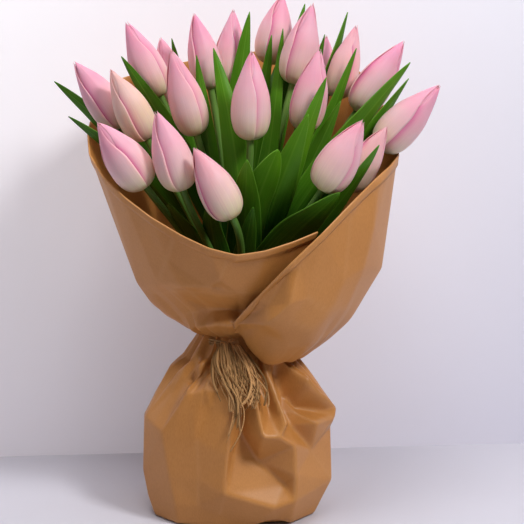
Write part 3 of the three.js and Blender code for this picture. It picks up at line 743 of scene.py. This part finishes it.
neck_low, neck_high, foot_splay = 0.118, 0.138, 1.5
stem_radius = 2.7 * mm
flowers = []
for number in range(1, 21):
    bud = corners_of(f"bloom_{number:02d}")
    spread = np.linalg.norm(bud[:, None] - bud[None], axis=-1)
    one, other = bud[list(np.unravel_index(spread.argmax(), spread.shape))]
    base, tip = (one, other) if one[2] < other[2] else (other, one)
    axis = unit(tip - base)
    bulge = np.linalg.norm(np.cross(bud - base, axis), axis=1).max()
    plant = corners_of(f"stem_{number:02d}")
    foot = plant[plant[:, 2] < plant[:, 2].min() + 1.5 * mm].mean(axis=0)
    neck = np.array([foot[0] / foot_splay, foot[1] / foot_splay, neck_high])
    top = base - 0.35 * mm * axis
    reach = np.linalg.norm(top - neck)
    bend = np.array([neck, neck + [0, 0, 0.3 * reach], top - 0.25 * reach * axis, top])
    flowers.append({"base": base, "tip": tip, "axis": axis, "radius": bulge, "bend": bend})

    t = np.linspace(0, 1, 44)
    rising, _ = bezier(bend, t)
    low = np.array([neck[0], neck[1], neck_low])
    straight = np.concatenate([foot + (low - foot) * np.linspace(0, 1, 6)[:-1, None],
                               low + (neck - low) * np.linspace(0, 1, 4)[:-1, None]])
    line = np.concatenate([straight, rising, [base + 1.2 * mm * axis]])
    along = unit(np.gradient(line, axis=0))
    across = unit(np.cross(along, np.array([0.0, -1.0, 0.0])))
    out = np.cross(across, along)
    sides = 14
    turn = np.linspace(0, 2 * np.pi, sides, endpoint=False)[None, :, None]
    full = np.linspace(1.0, 0.93, len(line))[:, None, None]
    full[0] = 0.9
    ring = stem_radius * full * (np.cos(turn) * across[:, None] + np.sin(turn) * out[:, None])
    walk = np.linspace(0, 1, len(line))
    uv = np.stack(np.broadcast_arrays(np.arange(sides) / sides, walk[:, None]), -1)
    tube = surface(f"stalk_{number:02d}", line[:, None] + ring, stem_skin, wraps=True, uv=uv)
    stalk = close_ends(tube, sides)
    # Painted shade: the stems are darker low down, in the paper and among the leaves, and lighter higher up.
    mark(stalk, "painted_light", np.repeat(0.25 + 0.75 * smooth_step((line[:, 2] - 0.2) / 0.12), sides))
    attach(stalk, "root")
    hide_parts(f"stem_{number:02d}")


# ---- Leaves -------------------------------------------------------------------------------------------
# Long tulip leaves that clasp the stem at their foot, open to a shallow channel and end in a point. They
# are thick, smooth and waxy, with fine parallel veins and a thin pale edge.
# The dark and light greens are a shaded and a lit copy of the leaf green, mixed by the painted light share.
leaf_skin = green_skin("leaf_skin", (0.007, 0.055, 0.002), (0.11, 0.33, 0.008), (0.19, 0.40, 0.045), 46.0)

# One row a leaf: flower; height of the foot and tip seen from that flower's base, in millimetres; width;
# compass direction of its back; twist towards the tip in degrees; backward curl of the tip; painted light,
# high for leaves at the front in the light and low for those in shade; how full it stays towards the tip;
# how far its middle bows out.
leaf_plan = [
    (1, 200, (-49, 8, 31), 20, -130, 10, 2, 0.45, 2.6, 2),
    (1, 190, (-36, -20, 8), 18, -120, -15, 2, 0.35, 2.6, 2),
    (1, 200, (-10, 26, 32), 18, 120, 0, 0, 0.3, 2.6, 0),
    (3, 185, (-26, -18, 29), 20, -110, 15, 1, 0.45, 2.8, 4),
    (4, 195, (-3, -16, 49), 16, -90, 10, 1, 0.4, 2.6, 0), (4, 190, (-20, 20, 26), 18, 120, 0, 0, 0.3, 2.6, 0),
    (5, 180, (0, 10, 55), 16, -80, -10, 0, 0.5, 2.6, 0), (7, 195, (15, -14, 55), 21, -90, 12, 0, 0.6, 2.8, 2),
    (7, 185, (-14, 22, 20), 18, 100, 0, 0, 0.3, 2.6, 0),
    (8, 175, (-26, 30, 61), 22, -100, 15, 1, 0.6, 2.8, 0),
    (8, 170, (-2, -36, -10), 27, -90, 0, 1, 0.85, 2.6, 4), (8, 178, (19, -26, -5), 26, -70, 10, 2, 1.0, 7, 2),
    (9, 200, (2, -18, 22), 16, -90, 0, 0, 0.6, 2.4, 0), (9, 190, (12, 22, 12), 18, 80, 0, 0, 0.3, 2.6, 0),
    (10, 200, (-7, 4, 39), 14, -120, 25, 0, 0.6, 2.4, 0), (10, 190, (9, 20, 56), 17, -80, 0, 0, 0.5, 3.2, 0),
    (11, 172, (15, -23, 39), 21, -70, 10, 0, 0.8, 2.8, 10),
    (11, 182, (3, -28, 14), 25, -100, -12, 0, 0.85, 2.8, 9),
    (12, 190, (9, 14, 61), 17, -60, 20, 1, 0.5, 3.2, 0),
    (12, 200, (13, -20, 37), 15, -70, 12, 0, 0.6, 2.6, 7),
    (13, 190, (5, -12, 48), 14, -90, 0, 0, 0.4, 2.6, 0), (13, 185, (10, 2, 16), 17, 50, 0, 0, 0.3, 2.6, 0),
    (14, 185, (36, -22, 36), 24, -60, 12, 1, 0.7, 2.8, 9),
    (14, 190, (-13, -30, 10), 18, -90, -20, 0, 0.6, 2.6, 4),
    (15, 195, (21, 14, 48), 18, -40, 0, 0, 0.5, 2.6, 0),
    (16, 165, (11, -17, -3), 30, -70, 10, 5, 0.75, 3.6, 3),
    (17, 175, (20, -27, 34), 19, -60, 15, 1, 0.7, 2.6, 9),
    (18, 180, (16, -8, -10), 20, -120, 0, 0, 0.35, 2.6, 0),
    (19, 170, (18, -6, -6), 20, -100, 0, 0, 0.4, 2.6, 0), (20, 165, (14, 4, 6), 18, -95, 0, 1, 0.5, 2.6, 0),
]


def leaf_blade(flower, foot_height, tip_step, wide, faces, twist, curl, full, bow_out, seed):
    """Grid of a leaf: its spine is a quadratic Bezier from the stem to the tip, and at each step along it
    the blade is an arc bent round the stem at the foot and a shallow channel with a keel further up."""
    rising, ways = bezier(flower["bend"], np.linspace(0, 1, 400))
    seat = int(np.argmin(np.abs(rising[:, 2] - foot_height * mm)))
    foot, way = rising[seat], ways[seat]
    tip = flower["base"] + np.array(tip_step) * mm
    reach = np.linalg.norm(tip - foot)
    t = np.linspace(0, 1, 56)
    back = np.array([math.cos(math.radians(faces)), math.sin(math.radians(faces)), 0.0])
    spine, along = bezier(np.array([foot, foot + 0.45 * reach * way + 2 * bow_out * mm * back, tip]), t)
    side = unit(np.cross(back, along))
    out = np.cross(along, side)
    lean = np.radians(twist * t**1.5)[:, None]
    side, out = side * np.cos(lean) + out * np.sin(lean), out * np.cos(lean) - side * np.sin(lean)
    clasp = 1 - smooth_step(t / 0.18)
    swell = 0.4 + 0.6 * smooth_step(t / 0.35)
    arc = 0.55 - 0.2 * t + 1.45 * clasp
    half = np.maximum(0.5 * wide * mm * swell * (1 - t**full) ** 0.8, 3.2 * mm * arc * clasp)
    half = np.maximum(half, 0.15 * mm)
    s = np.linspace(-1, 1, 21)[None, :]
    bow = (half / arc)[:, None]
    arc = arc[:, None]
    across = bow * np.sin(s * arc)
    keel = 0.35 * (1 - clasp)[:, None]
    behind = -bow * ((1 - keel) * (1 - np.cos(s * arc)) + keel * np.abs(s) * (1 - np.cos(arc)))
    wave = 0.1 * half[:, None] * np.sin(2 * np.pi * (1.7 * t[:, None] + 0.3 * seed) + 1.9 * np.sign(s))
    behind = behind + wave * np.abs(s) ** 3 * smooth_step((t[:, None] - 0.25) / 0.3)
    spine = spine + out * ((2.9 * clasp - curl * np.clip(t - 0.72, 0, 1) ** 2 / 0.078) * mm)[:, None]
    points = spine[:, None] + across[..., None] * side[:, None] + behind[..., None] * out[:, None]
    uv = np.stack(np.broadcast_arrays(s / 2 + 0.5, t[:, None]), -1)
    edge = 0.55 * np.clip((np.abs(s) - 0.9) / 0.1, 0, 1) + 0.3 * np.exp(-((s / 0.05) ** 2))
    return points, uv, np.broadcast_to(edge, points.shape[:2])


leaf_count = {}
for row, leaf_row in enumerate(leaf_plan):
    owner, foot_height, tip_step, wide, faces, twist, curl, lit_amount, full, bow = leaf_row
    flower = flowers[owner - 1]
    points, uv, edge = leaf_blade(flower, foot_height, tip_step, wide, faces, twist, curl, full, bow, row)
    leaf_count[owner] = leaf_count.get(owner, 0) + 1
    leaf = surface(f"leaf_{owner:02d}_{leaf_count[owner]}", points, leaf_skin, uv=uv)
    # Painted shade: each leaf is darker low down, inside the collar, and lighter higher up; its pale edge is
    # dimmed the same way.
    lit_by_height = smooth_step((points[..., 2] - 0.19) / 0.09)
    mark(leaf, "painted_light", lit_amount * lit_by_height)
    mark(leaf, "edge", edge * (0.3 + 0.7 * lit_by_height))
    thicken(leaf, 0.6 * mm)
    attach(leaf, "root")
    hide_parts(f"stem_{owner:02d}")


# ---- Blooms -------------------------------------------------------------------------------------------
# Closed tulip buds. Three outer petals lap one over the next round three inner ones, and their pointed
# tips meet at the top. They are soft and satiny: cream and a little green at the foot, pink above.
petal_skin = new_material("petal_skin", Roughness=0.48, Specular_IOR_Level=0.3, Subsurface_Weight=0.4,
                          Subsurface_Radius=(1.0, 0.45, 0.4), Subsurface_Scale=2.5 * mm)
on_petal = in_uv(petal_skin)
height_up = node(petal_skin, "ShaderNodeSeparateXYZ", {"Vector": on_petal}).outputs["Y"]
veins = noise(petal_skin, on_petal, 1.0, 4.0, stretch=(38.0, 1.5, 1.0))
soft_patches = noise(petal_skin, in_object(petal_skin), 45.0, 2.0)
sway = {0: veins, 1: 0.16, 2: -0.08}
swayed = node(petal_skin, "ShaderNodeMath", sway, operation="MULTIPLY_ADD").outputs[0]
level = node(petal_skin, "ShaderNodeMath", {0: height_up, 1: swayed}, operation="ADD").outputs[0]
cool = ramp(petal_skin, level, [
    (0.0, (0.34, 0.36, 0.06)), (0.15, (0.60, 0.58, 0.20)), (0.29, (0.84, 0.69, 0.42)),
    (0.46, (0.93, 0.53, 0.51)), (0.66, (0.93, 0.36, 0.46)), (1.0, (0.90, 0.25, 0.43)),
])
warm = ramp(petal_skin, level, [
    (0.0, (0.34, 0.34, 0.05)), (0.16, (0.56, 0.52, 0.14)), (0.36, (0.86, 0.66, 0.38)),
    (0.62, (0.92, 0.55, 0.42)), (1.0, (0.90, 0.44, 0.40)),
])
warmth = node(petal_skin, "ShaderNodeAttribute", attribute_name="warmth").outputs["Fac"]
petal_tint = blend(petal_skin, warmth, cool, warm)
streaks = ramp(petal_skin, veins, [(0.35, (0.35, 0.35, 0.35)), (0.62, (0, 0, 0))])
petal_tint = blend(petal_skin, streaks, petal_tint, (0.80, 0.30, 0.42))
petal_tint = blend(petal_skin, ramp(petal_skin, soft_patches, [(0.4, (0, 0, 0)), (0.75, (0.3, 0.3, 0.3))]),
                   petal_tint, (0.90, 0.60, 0.62))
# Painted shade with some deeper tint: beside each seam, where the next petal laps over, the petal is drawn
# deeper pink, partly its own deeper colour there and partly the shade in the groove.
seam_shade_and_tint = node(petal_skin, "ShaderNodeAttribute", attribute_name="seam_shade_and_tint").outputs["Fac"]
petal_tint = blend(petal_skin, seam_shade_and_tint, petal_tint, (0.70, 0.11, 0.28))
rim_light = node(petal_skin, "ShaderNodeAttribute", attribute_name="rim").outputs["Fac"]
drive(petal_skin, "Base Color", blend(petal_skin, rim_light, petal_tint, (0.88, 0.52, 0.52)))
drive(petal_skin, "Normal", bump(petal_skin, veins, 0.2, 0.3 * mm))

bud_outline = np.array([(0, 0), (0.42, 0.01), (0.78, 0.08), (0.96, 0.19), (1.0, 0.33), (0.9, 0.52),
                        (0.61, 0.72), (0.3, 0.89), (0.05, 1.0)])
# One entry a bloom: how far it is rolled about its own axis in degrees, and how warm its colour is.
bloom_plan = [
    (22, 0.0), (40, 1.0), (80, 0.0), (30, 0.1), (82, 0.2), (8, 0.0), (66, 0.0), (60, 0.15), (20, 0.1),
    (15, 0.1), (85, 0.1), (60, 0.4), (40, 0.0), (95, 0.0), (48, 0.1), (78, 0.25), (100, 0.6), (66, 0.1),
    (24, 0.1), (-15, 0.4),
]


def bud_petals(flower, roll, seed):
    """Grids of the six petals and of two wide ones that close the heart. Each is a piece of the bud's
    outline turned through an angle that narrows to the tip; its right edge stands a little out and its
    left edge a little in, so that each laps the next."""
    rows, columns = 44, 25
    outline = through(bud_outline, rows)
    walk = np.concatenate([[0], np.cumsum(np.linalg.norm(np.diff(outline * [0.5, 1], axis=0), axis=1))])
    up = (walk / walk[-1])[:, None]
    axis = flower["axis"]
    length = np.linalg.norm(flower["tip"] - flower["base"])
    toward = unit(np.array([0.0, -1.0, 0.0]) - axis * -axis[1])
    aside = np.cross(axis, toward)
    u = np.linspace(-1, 1, columns)[None, :]
    grids, seam_shades_and_tints = [], []
    for k in range(8):
        heart = k > 5
        inner = k % 2 == 1
        wobble = math.sin(seed * 2.3 + k * 1.7)
        spread = np.radians(74 + 3 * wobble) * (1 - 0.45 * smooth_step((up - 0.55) / 0.4))
        spread = spread * (1 - np.clip((up - 0.93) / 0.07, 0, 1) ** 2)
        if heart:
            spread = np.radians(96)
        angle = np.radians((180 if heart else 60) * k + roll + 4 * wobble) + u * spread + 0.1 * up
        shrink = 0.86 if heart else 0.94 if inner else 1.0
        out = np.maximum(outline[:, 0], 0.085 * (up[:, 0] > 0.8))[:, None] * flower["radius"] * shrink
        lap = 0.3 * u + 0.2 * np.abs(u) ** 6 * np.sign(u) + 0.3 * np.exp(-((u / 0.12) ** 2)) * (up - 0.35)
        lap = lap + 0.25 * np.sin(9 * up + seed + k) * np.abs(u) ** 4
        out = out * (1 - 0.02 * u**2) + lap * mm * smooth_step(up / 0.2) * smooth_step((1.04 - up) / 0.3)
        rise = outline[:, 1:] * length * (0.93 if heart else 0.975 if inner else 1.0 + 0.012 * wobble)
        point = (rise[..., None] * axis + (out * np.cos(angle))[..., None] * toward
                 + (out * np.sin(angle))[..., None] * aside)
        grids.append(flower["base"] + point)
        # A share for painted shade and deeper tint, strongest just beside the edge of the petal that laps
        # over this one.
        past = np.degrees(u * spread + np.radians(120) - spread)
        cover = np.exp(-np.clip(past, 0, None) / 12) * (past > -25)
        seam_shades_and_tints.append(cover * smooth_step((up - 0.12) / 0.3) * (0.85 if not inner else 0.8))
    return np.array(grids), np.array(seam_shades_and_tints), up, u


for number, (flower, (roll, warm_share)) in enumerate(zip(flowers, bloom_plan), 1):
    grids, seam_shades_and_tints, up, u = bud_petals(flower, roll, number)
    uv = np.broadcast_to(np.stack(np.broadcast_arrays(u / 2 + 0.5, up), -1), (*grids.shape[:3], 2))
    bloom = surface(f"tulip_{number:02d}", grids, petal_skin, uv=uv)
    mark(bloom, "seam_shade_and_tint", seam_shades_and_tints)
    mark(bloom, "warmth", np.full(seam_shades_and_tints.size, warm_share))
    edge = 0.6 * np.clip((np.abs(u) - 0.93) / 0.07, 0, 1) + 0.5 * np.clip((up - 0.95) / 0.05, 0, 1)
    mark(bloom, "rim", np.broadcast_to(edge, seam_shades_and_tints.shape))
    thicken(bloom, 0.35 * mm)
    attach(bloom, "root")
    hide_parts(f"bloom_{number:02d}")
